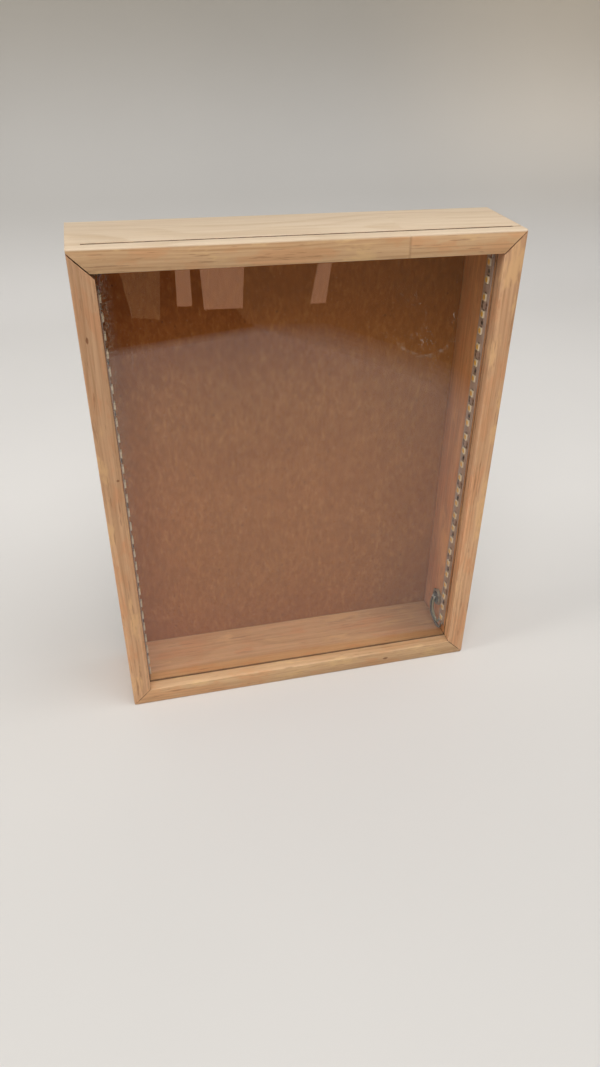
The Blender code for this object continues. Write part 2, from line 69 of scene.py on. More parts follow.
class Surface:
    """A node material, built one node at a time."""

    def __init__(self, name):
        self.material = bpy.data.materials.new(name)
        self.material.use_nodes = True
        self.tree = self.material.node_tree
        self.tree.nodes.clear()
        self.shader = self.add("ShaderNodeBsdfPrincipled")
        self.output = self.add("ShaderNodeOutputMaterial", {"Surface": self.shader.outputs[0]})

    def add(self, kind, sockets=None, **settings):
        """Add a node, set its properties, and set or link its inputs."""
        node = self.tree.nodes.new(kind)
        for key, value in settings.items():
            setattr(node, key, value)
        for key, value in (sockets or {}).items():
            self.feed(node.inputs[key], value)
        return node

    def feed(self, socket, value):
        """Link an output to an input, or set the input to a number or colour."""
        if isinstance(value, bpy.types.NodeSocket):
            self.tree.links.new(value, socket)
        elif isinstance(value, (tuple, list, Vector)) and socket.type == "RGBA" and len(value) == 3:
            socket.default_value = (*value, 1.0)
        else:
            socket.default_value = value

    def shade(self, **sockets):
        """Set the Principled shader's inputs; an underscore stands for a space."""
        for key, value in sockets.items():
            self.feed(self.shader.inputs[key.replace("_", " ")], value)

    def coords(self):
        """The object's own coordinates, in metres."""
        return self.add("ShaderNodeTexCoord").outputs["Object"]

    def split(self, vector):
        """The X, Y and Z of a vector."""
        return self.add("ShaderNodeSeparateXYZ", {0: vector}).outputs

    def join(self, x, y, z):
        """A vector from three values."""
        return self.add("ShaderNodeCombineXYZ", {0: x, 1: y, 2: z}).outputs[0]

    def map(self, vector, scale=(1, 1, 1), location=(0, 0, 0)):
        """Scale a vector, then move it."""
        return self.add(
            "ShaderNodeMapping", {"Vector": vector, "Scale": scale, "Location": location}).outputs[0]

    def noise(self, vector, scale, detail=2.0, roughness=0.5, distortion=0.0):
        """Fractal noise from 0 to 1."""
        return self.add("ShaderNodeTexNoise", {
            "Vector": vector, "Scale": scale, "Detail": detail,
            "Roughness": roughness, "Distortion": distortion}).outputs[0]

    def cells(self, vector, scale):
        """How far it is to the nearest of many scattered points."""
        sockets = {"Vector": vector, "Scale": scale}
        return self.add("ShaderNodeTexVoronoi", sockets).outputs["Distance"]

    def math(self, operation, a, b=0.0, c=0.0, clamp=False):
        """One arithmetic step."""
        node = self.add("ShaderNodeMath", {0: a, 1: b, 2: c}, operation=operation)
        node.use_clamp = clamp
        return node.outputs[0]

    def span(self, value, low, high, to_low=0.0, to_high=1.0):
        """Map a range to another with soft ends, held at both."""
        return self.add("ShaderNodeMapRange", {
            "Value": value, "From Min": low, "From Max": high,
            "To Min": to_low, "To Max": to_high}, interpolation_type="SMOOTHSTEP").outputs[0]

    def mix(self, factor, a, b, blend="MIX"):
        """Mix two colours."""
        node = self.add("ShaderNodeMix", data_type="RGBA", blend_type=blend)
        self.feed(node.inputs[0], factor)
        self.feed(node.inputs[6], a)
        self.feed(node.inputs[7], b)
        return node.outputs[2]

    def tint(self, mask, colour, filter_colour):
        """Multiply a colour by another, as far as a mask says."""
        return self.mix(mask, colour, filter_colour, "MULTIPLY")

    def all_of(self, *masks):
        """The product of several masks."""
        product = masks[0]
        for mask in masks[1:]:
            product = self.math("MULTIPLY", product, mask)
        return product

    def below(self, value, limit):
        """One where a value is less than a limit."""
        return self.math("LESS_THAN", value, limit)

    def above(self, value, limit):
        """One where a value is more than a limit."""
        return self.math("GREATER_THAN", value, limit)

    def bump(self, height, distance, strength):
        """A normal bumped by a height of the given distance."""
        sockets = {"Height": height, "Distance": distance, "Strength": strength}
        return self.add("ShaderNodeBump", sockets).outputs[0]

    def edges(self, radius):
        """A mask of the outer edges within a radius, 0 on flats and 1 on an edge."""
        rounded = self.add("ShaderNodeBevel", {"Radius": radius}, samples=6).outputs[0]
        true_normal = self.add("ShaderNodeNewGeometry").outputs["True Normal"]
        likeness = self.add(
            "ShaderNodeVectorMath", {0: rounded, 1: true_normal}, operation="DOT_PRODUCT")
        return self.span(likeness.outputs["Value"], 0.99, 0.80)


RING_SPACING = 1.6 * MM
# The colour of the painted shade in the top slot.
SLOT_SHADE_BROWN = (0.105, 0.052, 0.028)
MITRE_BROWN = (0.180, 0.085, 0.042)
BLEACHED_PALE = (0.770, 0.640, 0.490)
BLEACHED_DARK = (0.640, 0.490, 0.330)


def late_wood(s, across, deep, drift, start):
    """The dark part of each growth ring, some rings darker than others."""
    radius = s.math("SQRT", s.math("ADD", s.math("POWER", across, 2.0), s.math("POWER", deep, 2.0)))
    rings = s.math("ADD", s.math("DIVIDE", radius, RING_SPACING), s.math("MULTIPLY", drift, 6.0))
    phase = s.math("FRACT", rings)
    late = s.all_of(s.span(phase, 0.30, 0.90), s.span(phase, 1.0, 0.90))
    each = s.noise(s.join(s.math("FLOOR", rings), start, 0.5), 1.7, 1.0)
    return s.all_of(late, s.span(each, 0.35, 0.7, 0.15, 1.0))


def front_dents(s, place, wood, marks):
    """A mask of ragged dents and knots in the front face."""
    x, y, z = s.split(place)
    on_front = s.below(y, CASE_FRONT + 0.6 * MM)
    dents = 0.0
    for mark_x, mark_z, half_width, half_height in marks:
        side = s.math("DIVIDE", s.math("SUBTRACT", x, mark_x * MM), half_width * MM)
        rise = s.math("DIVIDE", s.math("SUBTRACT", z, mark_z * MM), half_height * MM)
        reach = s.math("ADD", s.math("POWER", side, 2.0), s.math("POWER", rise, 2.0))
        ragged = s.math("MULTIPLY_ADD", s.noise(wood, 900.0, 2.0), 1.2, -0.6)
        dent = s.all_of(s.span(s.math("ADD", reach, ragged), 1.3, 0.5), on_front)
        dents = s.math("MAXIMUM", dents, dent)
    return dents


def tinted_faces(s, colour, place, stain):
    """Tint some faces: darker and redder behind the pane, painted light on the floor there and a
    painted shadow of the right wall across it, painted light on the floor and right lip before the
    pane, dirt and painted shade at the pane's groove, painted shade down the slot walls, and the dark
    mitres.
    """
    x, y, z = s.split(place)
    off_middle = s.math("ABSOLUTE", x)
    within = s.all_of(
        s.below(off_middle, INSIDE + SKIN), s.above(z, FLOOR - SKIN), s.below(z, CEILING + SKIN))
    on_floor = s.below(z, FLOOR + SKIN)

    behind_pane = s.all_of(within, s.above(y, PANE_BACK))
    colour = s.tint(behind_pane, colour, (1.06, 0.83, 0.64))
    # Painted light: the floor behind the pane is made brighter than the boards' other faces.
    ground = s.all_of(behind_pane, on_floor)
    colour = s.tint(ground, colour, (1.10, 1.24, 1.50))
    # Painted shadow of the right wall across the inner floor's right end.
    right_wall_shadow = s.all_of(ground, s.span(x, 40 * MM, 84 * MM))
    colour = s.tint(right_wall_shadow, colour, (0.72, 0.68, 0.62))

    # Painted light on the floor and the right lip in front of the pane.
    before_pane = s.all_of(within, s.below(y, PANE_FRONT))
    colour = s.tint(s.all_of(before_pane, on_floor), colour, (1.26, 1.34, 1.46))
    lit_right_lip = s.all_of(before_pane, s.above(x, INSIDE - SKIN))
    colour = s.tint(lit_right_lip, colour, (1.15, 1.20, 1.28))

    # Dirt and painted shade along the groove where the pane meets the wood.
    slot_gap = s.math("ABSOLUTE", s.math("SUBTRACT", y, PANE_MIDDLE))
    groove_dirt_and_shade = s.all_of(s.span(slot_gap, 1.15 * MM, 0.9 * MM), within)
    colour = s.mix(s.math("MULTIPLY", groove_dirt_and_shade, 0.35), colour, stain)
    # Painted shade down the walls of the slot in the top board.
    slot_wall_shade = s.all_of(
        s.below(slot_gap, 1.1 * MM), s.above(z, CEILING), s.below(z, CASE_TOP - 0.12 * MM),
        s.below(off_middle, CASE_RIGHT - 0.3 * MM))
    colour = s.mix(s.math("MULTIPLY", slot_wall_shade, 0.88), colour, SLOT_SHADE_BROWN)

    normal = s.split(s.add("ShaderNodeNewGeometry").outputs["True Normal"])
    slope = s.math("ABSOLUTE", s.math("MULTIPLY", normal[0], normal[2]))
    mitred = s.all_of(s.above(slope, 0.35), s.below(off_middle, CASE_RIGHT - 2.5 * MM))
    return s.mix(s.math("MULTIPLY", mitred, 0.9), colour, MITRE_BROWN)


def handled_edges(s, colour, wood, pale, stain):
    """Edges rubbed pale in places and grimy in others."""
    worn = s.edges(1.2 * MM)
    handled = s.all_of(worn, s.span(s.noise(wood, 260.0, 3.0), 0.4, 0.65))
    rubbed = tuple(min(1.0, c * 1.15) for c in pale)
    colour = s.mix(s.math("MULTIPLY", handled, 0.45), colour, rubbed)
    scuffs = s.noise(s.map(wood, (150, 700, 700), (1.3, 0, 0)), 1.0, 3.0, 0.6)
    grime = s.all_of(worn, s.span(scuffs, 0.50, 0.66))
    return s.mix(s.math("MULTIPLY", grime, 0.55), colour, stain)


def pine(
        name, along, seed, pale, dark, ring_centre, tones=(1.0, 1.0), seam=None,
        bleached=None, marks=()):
    """Bare pine: growth rings round a line beside the board, fibres, dashes, dirt and wear, with
    painted light and shade on some faces.

    along is the board's long axis. tones are how light it is at its low and high ends.
    seam is where two finger-jointed lengths meet. bleached is the height of a face that
    daylight and handling have turned pale. marks are dents and knots in the front face,
    each as X, Z, half width and half height in millimetres.
    """
    s = Surface(name)
    place = s.coords()
    x, y, z = s.split(place)
    if along == "X":
        u, w = x, z
        low_end, high_end = -CASE_RIGHT, CASE_RIGHT
    else:
        u, w = z, x
        low_end, high_end = 0.0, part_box("board_left")[1].z
    start = seed * 0.731
    if seam is not None:
        beyond = s.above(u, seam)
        start = s.math("MULTIPLY_ADD", beyond, 0.37, start)
    wood = s.join(s.math("ADD", u, start), y, w)

    # Growth rings, fibres, streaks, patches and short dark marks.
    drift = s.noise(s.map(wood, (6, 24, 24)), 1.0, 2.0, 0.5)
    across = s.math("SUBTRACT", y, ring_centre[0])
    deep = s.math("SUBTRACT", w, ring_centre[1])
    if seam is not None:
        across = s.math("MULTIPLY_ADD", beyond, 0.012, across)
    late = late_wood(s, across, deep, drift, start)
    fibres = s.noise(s.map(wood, (35, 2600, 2600)), 1.0, 3.0, 0.6)
    streaks = s.noise(s.map(wood, (14, 620, 620)), 1.0, 3.0, 0.65)
    blotches = s.noise(s.map(wood, (34, 95, 95)), 1.0, 4.0, 0.65)
    flecks = s.noise(s.map(wood, (130, 1900, 1900), (3.1, 0, 0)), 1.0, 1.0)
    flecks = s.span(flecks, 0.70, 0.80)
    dashes = s.noise(s.map(wood, (60, 850, 850), (7.7, 0.2, 0.1)), 1.0, 3.0, 0.6)
    dashes = s.span(dashes, 0.60, 0.70)

    # Their colours.
    tone = s.math("MULTIPLY_ADD", late, 0.46, s.math("MULTIPLY", s.span(streaks, 0.28, 0.72), 0.52))
    tone = s.math("ADD", tone, s.math("MULTIPLY", s.span(fibres, 0.35, 0.8), 0.20), clamp=True)
    colour = s.mix(tone, pale, dark)
    blush = tuple(a * b for a, b in zip(pale, (1.02, 0.84, 0.74)))
    golden = tuple(a * b for a, b in zip(pale, (1.04, 1.05, 0.92)))
    stain = tuple(a * b for a, b in zip(dark, (0.50, 0.36, 0.28)))
    colour = s.mix(s.span(blotches, 0.49, 0.62, 0.0, 0.8), colour, s.mix(tone, blush, dark))
    colour = s.mix(s.span(blotches, 0.47, 0.34, 0.0, 0.8), colour, golden)
    colour = s.mix(s.math("MULTIPLY", flecks, 0.45), colour, stain)
    colour = s.mix(s.math("MULTIPLY", dashes, 0.46), colour, stain)
    # Lighter or darker from end to end as the tones give; the bottom board's darker right end is
    # painted shade from the right wall.
    light = s.math("MULTIPLY_ADD", s.span(u, low_end, high_end), tones[1] - tones[0], tones[0])
    colour = s.tint(1.0, colour, s.join(light, light, light))

    # What only some boards have: a seam, a bleached face, dents and knots.
    if seam is not None:
        line = s.math("ABSOLUTE", s.math("SUBTRACT", u, seam))
        front = s.below(y, CASE_FRONT + 0.7 * MM)
        line = s.all_of(s.span(line, 0.9 * MM, 0.2 * MM, 0.0, 0.30), front)
        colour = s.mix(line, colour, stain)
    if bleached is not None:
        upper = s.span(z, bleached - 1.2 * MM, bleached - 0.3 * MM)
        milky = s.mix(tone, BLEACHED_PALE, BLEACHED_DARK)
        colour = s.mix(s.math("MULTIPLY", upper, 0.85), colour, milky)
    if marks:
        dents = front_dents(s, place, wood, marks)
        colour = s.mix(s.math("MULTIPLY", dents, 0.8), colour, stain)
    colour = tinted_faces(s, colour, place, stain)
    colour = handled_edges(s, colour, wood, pale, stain)

    # Relief and sheen.
    height = s.math("MULTIPLY_ADD", fibres, 0.5, s.math("MULTIPLY", late, 0.35))
    height = s.math("SUBTRACT", height, s.math("MULTIPLY", flecks, 0.8))
    height = s.math("SUBTRACT", height, s.math("MULTIPLY", dashes, 0.6))
    if marks:
        height = s.math("SUBTRACT", height, s.math("MULTIPLY", dents, 3.0))
    rough = s.math("MULTIPLY_ADD", fibres, 0.22, 0.46)
    rough = s.math("SUBTRACT", rough, s.math("MULTIPLY", late, 0.10))
    s.shade(Base_Color=colour, Roughness=rough, Normal=s.bump(height, 0.08 * MM, 0.7))
    s.shade(Specular_IOR_Level=0.35)
    return s.material


# The smooth side of hardboard, then its screen-marked side.
SMOOTH = ((0.350, 0.116, 0.027), (0.440, 0.163, 0.041))
PALE_FIBRE = (0.560, 0.250, 0.072)
CLOUD = (0.328, 0.108, 0.025)
MOTTLE = (0.298, 0.096, 0.022)
DARK_SPECK = (0.10, 0.045, 0.022)
PALE_SPECK = (0.60, 0.44, 0.31)
ROUGH = ((0.185, 0.088, 0.042), (0.265, 0.135, 0.068))
ROUGH_CLOUD = (0.160, 0.075, 0.037)
SCREEN_MARK = (0.080, 0.038, 0.020)


def hardboard(name):
    """Brown fibre board: smooth inside with light and dark fibres, screen-marked outside, with painted
    shade and light on its inner face.
    """
    s = Surface(name)
    place = s.coords()
    x, y, z = s.split(place)
    fine = s.noise(place, 1500.0, 3.0, 0.65)
    fibres = s.noise(s.map(place, (1, 1, 0.35)), 620.0, 4.0, 0.6, 0.3)
    clouds = s.noise(place, 26.0, 4.0, 0.6)
    mottles = s.noise(s.map(place, (1, 1, 0.6)), 420.0, 2.0, 0.6)
    colour = s.mix(s.span(fine, 0.3, 0.7), *SMOOTH)
    colour = s.mix(s.span(fibres, 0.45, 0.75, 0.0, 0.55), colour, PALE_FIBRE)
    colour = s.mix(s.span(clouds, 0.35, 0.75, 0.0, 0.5), colour, CLOUD)
    colour = s.mix(s.span(mottles, 0.38, 0.66, 0.0, 0.55), colour, MOTTLE)
    specks = s.span(s.cells(place, 230.0), 0.16, 0.07)
    pick = s.span(s.noise(place, 160.0, 1.0), 0.56, 0.62)
    colour = s.mix(s.math("MULTIPLY", s.all_of(specks, pick), 0.6), colour, DARK_SPECK)
    pale_specks = s.span(s.cells(s.map(place, (1, 1, 1), (0.3, 0, 0.1)), 260.0), 0.10, 0.04)
    colour = s.mix(s.math("MULTIPLY", pale_specks, 0.45), colour, PALE_SPECK)

    # Painted shade: darker under the top board, where its shadow falls, and over the upper half.
    top_board_shadow = s.span(z, 160 * MM, 212 * MM)
    colour = s.tint(top_board_shadow, colour, (0.79, 0.63, 0.48))
    upper_shade = s.span(z, 100 * MM, 165 * MM)
    colour = s.tint(upper_shade, colour, (0.91, 0.92, 0.88))
    # Painted shade towards the right wall and painted light towards the left.
    right_wall_shade = s.span(x, 20 * MM, 85 * MM)
    colour = s.tint(right_wall_shade, colour, (0.88, 0.90, 0.84))
    left_side = s.span(x, -30 * MM, -85 * MM)
    colour = s.tint(left_side, colour, (1.14, 1.12, 1.10))

    outside = s.span(y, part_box("back_panel")[1].y - 0.8 * MM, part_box("back_panel")[1].y - 0.4 * MM)
    weave = {"Vector": place, "Scale": 95.0, "Distortion": 0.4}
    warp = s.add("ShaderNodeTexWave", weave, bands_direction="X").outputs[1]
    weft = s.add("ShaderNodeTexWave", weave, bands_direction="Z").outputs[1]
    screen = s.all_of(warp, weft)
    dull = s.mix(s.span(fine, 0.3, 0.7), *ROUGH)
    dull = s.mix(s.span(clouds, 0.35, 0.75, 0.0, 0.6), dull, ROUGH_CLOUD)
    dull = s.mix(s.math("MULTIPLY", screen, 0.45), dull, SCREEN_MARK)
    colour = s.mix(outside, colour, dull)
    height = s.math("MULTIPLY_ADD", s.all_of(outside, screen), -3.0, fine)
    rough = s.span(clouds, 0.2, 0.8, 0.52, 0.74)
    s.shade(Base_Color=colour, Roughness=rough, Normal=s.bump(height, 0.012 * MM, 0.4))
    s.shade(Specular_IOR_Level=0.10)
    return s.material


DUST = (0.62, 0.52, 0.42)
RIM_DIRT = (0.150, 0.070, 0.034)
HAZE = (0.32, 0.22, 0.11)


def dust_cover(s, place):
    """How much of the glass dust and fine scratches cover."""
    dust = s.span(s.noise(place, 2600.0, 2.0), 0.60, 0.75)
    patches = s.span(s.noise(place, 24.0, 3.0), 0.45, 0.70)
    scratch = s.noise(s.map(place, (900, 900, 60), (0, 0, 0.4)), 1.0, 2.0, 0.5, 0.6)
    scratch = s.all_of(s.span(scratch, 0.70, 0.78), patches)
    cover = s.math("MULTIPLY", dust, s.math("MULTIPLY_ADD", patches, 0.035, 0.006))
    cover = s.math("MULTIPLY_ADD", scratch, 0.12, cover)
    return s.math("ADD", cover, 0.0005)


def corner_smears(s, place):
    """A worn arc and chalky dots near the upper right corner."""
    centre_x = 60 * MM
    centre_z = 211 * MM
    arc_radius = 16 * MM
    arc_top = 203 * MM
    x, y, z = s.split(place)
    away = s.join(s.math("SUBTRACT", x, centre_x), 0.0, s.math("SUBTRACT", z, centre_z))
    away = s.add("ShaderNodeVectorMath", {0: away}, operation="LENGTH").outputs["Value"]
    wobble = s.math("MULTIPLY_ADD", s.noise(place, 90.0, 2.0), 6 * MM, -3 * MM)
    off_arc = s.math("ABSOLUTE", s.math("SUBTRACT", s.math("ADD", away, wobble), arc_radius))
    broken = s.span(s.noise(place, 420.0, 3.0, 0.7), 0.46, 0.62)
    arc = s.all_of(s.span(off_arc, 1.6 * MM, 0.3 * MM), s.below(z, arc_top), broken)
    dots = s.span(s.cells(place, 620.0), 0.24, 0.12)
    clusters = s.span(s.noise(place, 75.0, 2.0), 0.45, 0.60)
    chalk = s.all_of(dots, clusters, s.span(away, 30 * MM, 10 * MM))
    return s.math("MAXIMUM", s.math("MULTIPLY", arc, 0.11), s.math("MULTIPLY", chalk, 0.35))


def clear_sheet(name):
    """Clear glass that lets lamps through: dusty, smeared, and dirty where it meets the wood."""
    s = Surface(name)
    place = s.coords()
    x, y, z = s.split(place)
    s.shade(Base_Color=(0.97, 0.985, 0.975), Roughness=0.0, IOR=1.50, Transmission_Weight=1.0)
    cover = s.math("ADD", dust_cover(s, place), corner_smears(s, place))

    # Dirt along the rim, and a haze down the left edge.
    rim_x = s.math("SUBTRACT", INSIDE, s.math("ABSOLUTE", x))
    rim_z = s.math("MINIMUM", s.math("SUBTRACT", z, FLOOR), s.math("SUBTRACT", CEILING, z))
    rim = s.math("MINIMUM", rim_x, rim_z)
    dirt_width = s.math("MULTIPLY_ADD", s.noise(place, 160.0, 3.0), 0.8 * MM, -0.1 * MM)
    dirt = s.span(s.math("SUBTRACT", rim, dirt_width), 0.3 * MM, -0.3 * MM)
    soiled = s.mix(dirt, DUST, RIM_DIRT)
    hidden = s.span(rim, -1.6 * MM, -0.6 * MM, 0.06, 1.0)
    thick_below = s.span(z, FLOOR + 3 * MM, FLOOR, 0.2, 0.5)
    cover = s.math("MAXIMUM", cover, s.all_of(dirt, hidden, thick_below))
    from_left = s.math("ADD", x, INSIDE)
    mist = s.span(s.noise(place, 800.0, 3.0, 0.7), 0.46, 0.66)
    haze = s.all_of(s.span(from_left, 7 * MM, 1 * MM), s.span(z, 60 * MM, 215 * MM), mist)
    cover = s.math("MAXIMUM", cover, s.math("MULTIPLY", haze, 0.30))

    # The glass with that cover on it, and a clear pass for shadow and diffuse rays.
    dull = s.add("ShaderNodeBsdfPrincipled", {
        "Base Color": s.mix(haze, soiled, HAZE), "Roughness": 0.7})
    glazed = s.add("ShaderNodeMixShader", {0: cover, 1: s.shader.outputs[0], 2: dull.outputs[0]})
    path = s.add("ShaderNodeLightPath")
    passing = s.math("MAXIMUM", path.outputs["Is Shadow Ray"], path.outputs["Is Diffuse Ray"])
    clear = s.add("ShaderNodeBsdfTransparent", {"Color": (0.93, 0.94, 0.93)})
    both = s.add("ShaderNodeMixShader", {0: passing, 1: glazed.outputs[0], 2: clear.outputs[0]})
    s.feed(s.output.inputs["Surface"], both.outputs[0])
    return s.material


def moulded(name, colour, roughness):
    """Moulded plastic with a faint texture, handling marks and paler edges."""
    s = Surface(name)
    place = s.coords()
    fine = s.noise(place, 3200.0, 2.0)
    broad = s.noise(place, 180.0, 3.0)
    pale = tuple(min(1.0, c * 1.35 + 0.02) for c in colour)
    tint = s.mix(s.span(broad, 0.4, 0.75, 0.0, 0.35), colour, pale)
    tint = s.mix(s.math("MULTIPLY", s.edges(0.25 * MM), 0.3), tint, pale)
    rough = s.math("MULTIPLY_ADD", broad, 0.22, roughness - 0.11)
    s.shade(Base_Color=tint, Roughness=rough, Normal=s.bump(fine, 0.01 * MM, 0.5))
    return s.material


def metal(name, colour, roughness):
    """Plain or plated metal with fine tool marks, tarnish and bright edges."""
    s = Surface(name)
    place = s.coords()
    marks = s.noise(s.map(place, (400, 5200, 5200)), 1.0, 2.0)
    tarnish = s.noise(place, 420.0, 4.0, 0.6)
    dull = tuple(c * 0.55 for c in colour)
    tint = s.mix(s.span(tarnish, 0.42, 0.72, 0.0, 0.8), colour, dull)
    bright = tuple(min(1.0, c * 1.25) for c in colour)
    tint = s.mix(s.math("MULTIPLY", s.edges(0.2 * MM), 0.4), tint, bright)
    rough = s.math("MULTIPLY_ADD", tarnish, 0.35, roughness - 0.1)
    s.shade(Base_Color=tint, Roughness=rough, Metallic=1.0, Normal=s.bump(marks, 0.012 * MM, 0.6))
    return s.material


def insulation(name, colour):
    """A wire's soft insulation, slightly dusty and uneven."""
    s = Surface(name)
    place = s.coords()
    broad = s.noise(place, 350.0, 3.0)
    dusty = tuple(c * 0.7 + 0.08 for c in colour)
    tint = s.mix(s.span(broad, 0.35, 0.75, 0.0, 0.5), colour, dusty)
    rough = s.span(broad, 0.3, 0.8, 0.30, 0.52)
    s.shade(Base_Color=tint, Roughness=rough, Normal=s.bump(s.noise(place, 1800.0), 0.02 * MM, 0.5))
    return s.material


def build_finishes():
    """Every material, by name."""
    yellow = ((0.635, 0.405, 0.222), (0.440, 0.243, 0.109))
    red = ((0.680, 0.400, 0.220), (0.420, 0.215, 0.101))
    return {
        "board_top": pine(
            "pine_top", "X", 1, *yellow, (-0.012, 0.140), (0.95, 0.98), seam=45 * MM,
            bleached=CASE_TOP),
        "board_bottom": pine(
            "pine_bottom", "X", 2, *yellow, (0.010, -0.045), (1.06, 0.93),
            marks=((50.5, 4.8, 1.6, 0.9),)),
        "board_left": pine(
            "pine_left", "Z", 3, *red, (0.020, -0.145), (1.08, 0.80),
            marks=((-98.1, 216.4, 0.55, 1.5), (-93.4, 147.6, 0.7, 0.7))),
        "board_right": pine("pine_right", "Z", 4, *red, (0.015, 0.150), (1.10, 0.93)),
        "hardboard": hardboard("hardboard_brown"),
        "pane": clear_sheet("pane_glass"),
        "jack_black": moulded("jack_black_plastic", (0.028, 0.027, 0.026), 0.36),
        "plating": metal("jack_plating", (0.40, 0.36, 0.27), 0.34),
        "brad_steel": metal("brad_steel", (0.42, 0.41, 0.40), 0.42),
        "wire_red": insulation("wire_red_pvc", (0.240, 0.050, 0.034)),
        "wire_black": insulation("wire_black_pvc", (0.060, 0.045, 0.028)),
        "wire_ivory": insulation("wire_ivory_pvc", (0.240, 0.210, 0.125)),
        "tape": moulded("strip_tape", (0.430, 0.305, 0.245), 0.55),
        "led_white": moulded("led_body_white", (0.780, 0.620, 0.440), 0.45),
        "led_phosphor": moulded("led_phosphor", (0.820, 0.460, 0.060), 0.34),
        "resistor_black": moulded("resistor_black", (0.03, 0.03, 0.032), 0.40),
        # The pads' and feet's tin is darkened: partly its own dull colour, partly painted shade
        # between the LED packages.
        "pads": metal("pad_tin", (0.30, 0.24, 0.20), 0.36),
        "solder": metal("solder_tin", (0.72, 0.71, 0.68), 0.24),
        "tinned": metal("tinned_tails", (0.62, 0.60, 0.54), 0.30),
    }


FINISHES = build_finishes()


# ---------------------------------------------------------------- mesh helpers

def new_piece(name, mesh, body, slot, *finishes):
    """Add a mesh as a visible piece that rides on a body."""
    piece = bpy.data.objects.new(name, mesh)
    bpy.context.scene.collection.objects.link(piece)
    for finish in finishes:
        mesh.materials.append(FINISHES[finish])
    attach(piece, body)
    return piece


def from_shape(name, shape, smooth_below=40):
    """Turn a bmesh into a mesh, smooth where its faces meet at less than an angle."""
    mesh = bpy.data.meshes.new(name)
    shape.to_mesh(mesh)
    shape.free()
    mesh.shade_smooth()
    mesh.set_sharp_from_angle(angle=math.radians(smooth_below))
    return mesh


def refined(node, body, slot, finish, bevel=0.0, rounds=0, smooth_below=40):
    """Stand in for a CAD node with its own shape, welded, eased and smoothed."""
    weld_within = 0.002 * MM
    flat_within = math.radians(0.6)
    shape = bmesh.new()
    shape.from_mesh(NODES[node].data)
    bmesh.ops.remove_doubles(shape, verts=shape.verts, dist=weld_within)
    bmesh.ops.dissolve_limit(
        shape, angle_limit=flat_within, verts=shape.verts, edges=shape.edges)
    bmesh.ops.triangulate(shape, faces=[face for face in shape.faces if len(face.verts) > 4])
    look = node + "_look"
    piece = new_piece(look, from_shape(look, shape, smooth_below), body, slot, finish)
    if bevel:
        ease = piece.modifiers.new("Worn edges", "BEVEL")
        ease.width = bevel
        ease.segments = 2
        ease.limit_method = "ANGLE"
        ease.angle_limit = math.radians(40)
        ease.harden_normals = True
    if rounds:
        soften = piece.modifiers.new("Rounded", "SUBSURF")
        soften.levels = rounds
        soften.render_levels = rounds
    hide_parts(node)
    return piece


def add_block(shape, centre, size, slot, bevel):
    """A box with its edges eased, in a material slot."""
    verts = bmesh.ops.create_cube(shape, size=1.0)["verts"]
    bmesh.ops.scale(shape, vec=size, verts=verts)
    bmesh.ops.translate(shape, vec=centre, verts=verts)
    for face in {face for vert in verts for face in vert.link_faces}:
        face.material_index = slot
    edges = list({edge for vert in verts for edge in vert.link_edges})
    bmesh.ops.bevel(
        shape, geom=edges, offset=bevel, segments=2, profile=0.6, affect="EDGES", material=-1)


def add_lathe(shape, profile, slot, steps, place):
    """A solid turned about local X from (along, radius) points, first and last on the axis."""
    rings = []
    for along, radius in profile:
        if radius == 0:
            rings.append([shape.verts.new(place @ Vector((along, 0, 0)))])
            continue
        ring = []
        for step in range(steps):
            angle = math.tau * step / steps
            spot = Vector((along, radius * math.cos(angle), radius * math.sin(angle)))
            ring.append(shape.verts.new(place @ spot))
        rings.append(ring)
    for first, second in zip(rings, rings[1:]):
        for step in range(steps):
            after = (step + 1) % steps
            corners = [first[step % len(first)], first[after % len(first)],
                       second[after % len(second)], second[step % len(second)]]
            unique = list(dict.fromkeys(corners))
            shape.faces.new(unique).material_index = slot


def add_blob(shape, centre, size):
    """A drop of solder: a squashed ball with a few soft dents."""
    verts = bmesh.ops.create_icosphere(shape, subdivisions=3, radius=1.0)["verts"]
    for vert in verts:
        swell = 1 + 0.14 * noise.noise(vert.co * 1.7 + Vector(centre) * 900)
        vert.co = Vector(centre) + Vector([a * b * swell for a, b in zip(vert.co, size)])


# ---------------------------------------------------------------- boards, pane, back and brads

def wooden_box():
    """The four boards, the pane, the back and every brad, with eased edges."""
    for side in ("top", "bottom", "left", "right"):
        refined("board_" + side, "case", "pine", "board_" + side, 0.22 * MM)
    refined("back_panel", "case", "hardboard", "hardboard", 0.15 * MM)
    refined("front_pane", "pane", "clear_pane", "pane", 0.08 * MM)
    for node in sorted(NODES):
        if node.startswith("brad_"):
            refined(node, "case", "steel_brad", "brad_steel", 0.05 * MM)


# ---------------------------------------------------------------- LED strip

# Measures of a strip whose tape lies in the YZ plane and whose packages point along +X.
TAPE_THICKNESS = 0.35 * MM
TAPE_WIDTH = 8 * MM
SEGMENT = 25 * MM
LED_PITCH = SEGMENT / 3
PACKAGE = Vector((0.76, 2.8, 3.5)) * MM
FOOT = Vector((0.26, 2.3, 0.60)) * MM
FOOT_PAST_PACKAGE = 0.22 * MM
RESISTOR = Vector((0.5, 1.2, 1.3)) * MM
RESISTOR_CAP = Vector((0.52, 1.22, 0.42)) * MM
CAP_OFFSET = 0.82 * MM
PAD = Vector((0.06, 1.7, 1.5)) * MM
PAD_SIDE = 2.3 * MM
PAD_FROM_CUT = 0.95 * MM
PAD_MARGIN = 0.4 * MM
WHITE, PHOSPHOR, METAL, DARK, TAPE = range(5)
STRIP_FINISHES = ("led_white", "led_phosphor", "pads", "resistor_black", "tape")


